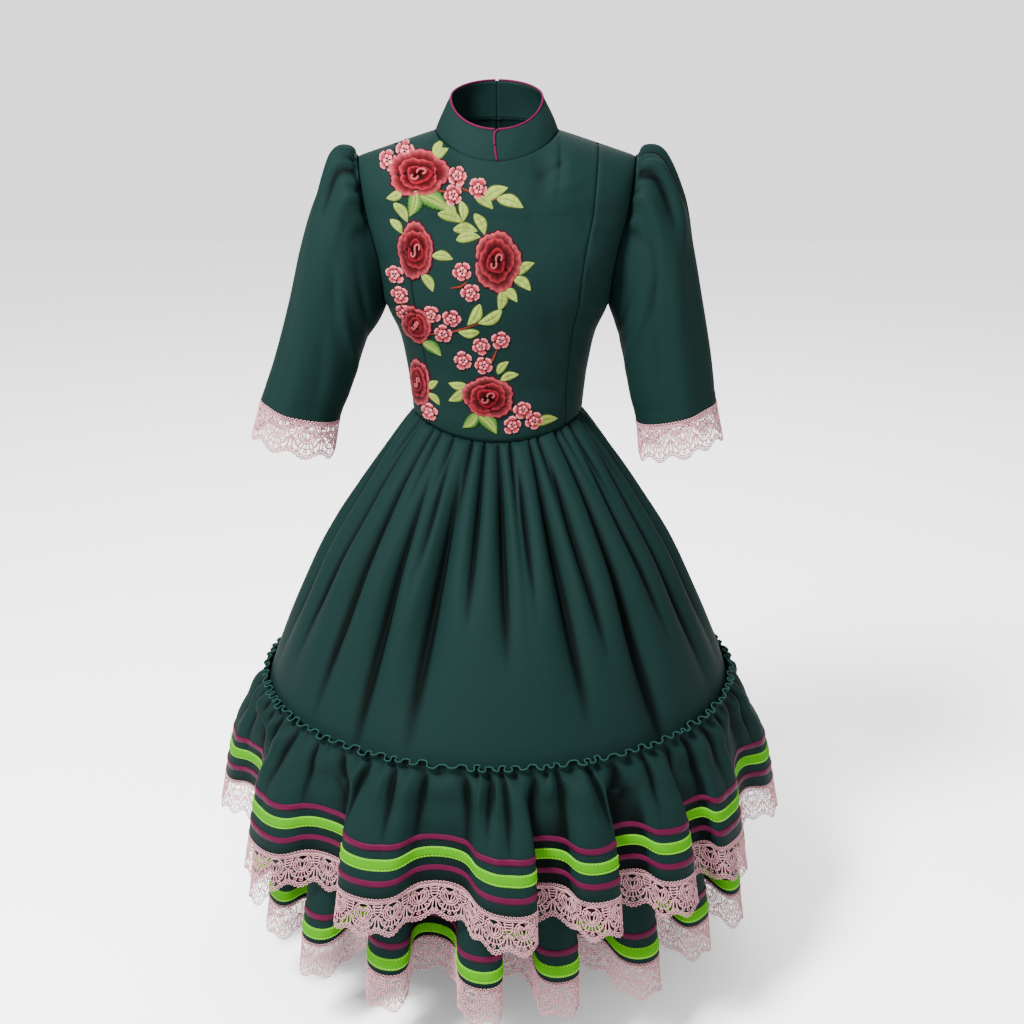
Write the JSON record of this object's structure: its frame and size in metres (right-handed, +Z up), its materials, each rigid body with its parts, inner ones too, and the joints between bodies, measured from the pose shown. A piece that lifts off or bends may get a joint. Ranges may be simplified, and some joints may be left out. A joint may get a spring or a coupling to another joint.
{
  "type": "escaramuza dress",
  "caption": "Women's long riding dress with a stand collar, elbow sleeves, a princess-cut bodice with flower sprays, and a full skirt with ribboned, lace-edged flounces.",
  "frame": {"origin": "centre of the neck opening at the height of the neck points, where the wearer's neck and shoulders hold the dress", "axes": "+Z up the wearer's body, -Y out of the front, +X to the wearer's left"},
  "size_m": [0.8932, 0.8938, 1.2637],
  "materials": {
    "green_cloth": "matt dark bottle green crepe twill",
    "plum_ribbon": "plum satin ribbon",
    "lime_ribbon": "lime ribbed ribbon with stitched edges",
    "pink_lace": "dusty pink guipure lace",
    "plum_piping": "plum corded piping",
    "flower_thread": "satin stitch in rose, pale pink and green thread"
  },
  "bodies": {
    "root": {"bodice_back_left": "green_cloth", "bodice_back_right": "green_cloth", "bodice_front_centre": "green_cloth", "bodice_front_side_left": "green_cloth", "bodice_front_side_right": "green_cloth", "collar_left": "green_cloth", "collar_piping_left": "plum_piping", "collar_piping_right": "plum_piping", "collar_right": "green_cloth", "flower_spray_1": "flower_thread", "flower_spray_10": "flower_thread", "flower_spray_11": "flower_thread", "flower_spray_12": "flower_thread", "flower_spray_13": "flower_thread", "flower_spray_14": "flower_thread", "flower_spray_15": "flower_thread", "flower_spray_16": "flower_thread", "flower_spray_17": "flower_thread", "flower_spray_18": "flower_thread", "flower_spray_19": "flower_thread", "flower_spray_2": "flower_thread", "flower_spray_20": "flower_thread", "flower_spray_3": "flower_thread", "flower_spray_4": "flower_thread", "flower_spray_5": "flower_thread", "flower_spray_6": "flower_thread", "flower_spray_7": "flower_thread", "flower_spray_8": "flower_thread", "flower_spray_9": "flower_thread", "lower_flounce_back": "green_cloth", "lower_flounce_front": "green_cloth", "lower_lace_back": "pink_lace", "lower_lace_front": "pink_lace", "lower_ribbon_lime": "lime_ribbon", "lower_ribbon_plum": "plum_ribbon", "skirt_back": "green_cloth", "skirt_front": "green_cloth", "sleeve_lace_left_back": "pink_lace", "sleeve_lace_left_front": "pink_lace", "sleeve_lace_right_back": "pink_lace", "sleeve_lace_right_front": "pink_lace", "sleeve_left": "green_cloth", "sleeve_right": "green_cloth", "upper_flounce_back": "green_cloth", "upper_flounce_front": "green_cloth", "upper_lace_back": "pink_lace", "upper_lace_front": "pink_lace", "upper_ribbon_lime": "lime_ribbon", "upper_ribbon_plum_high": "plum_ribbon", "upper_ribbon_plum_low": "plum_ribbon"}
  },
  "joints": []
}
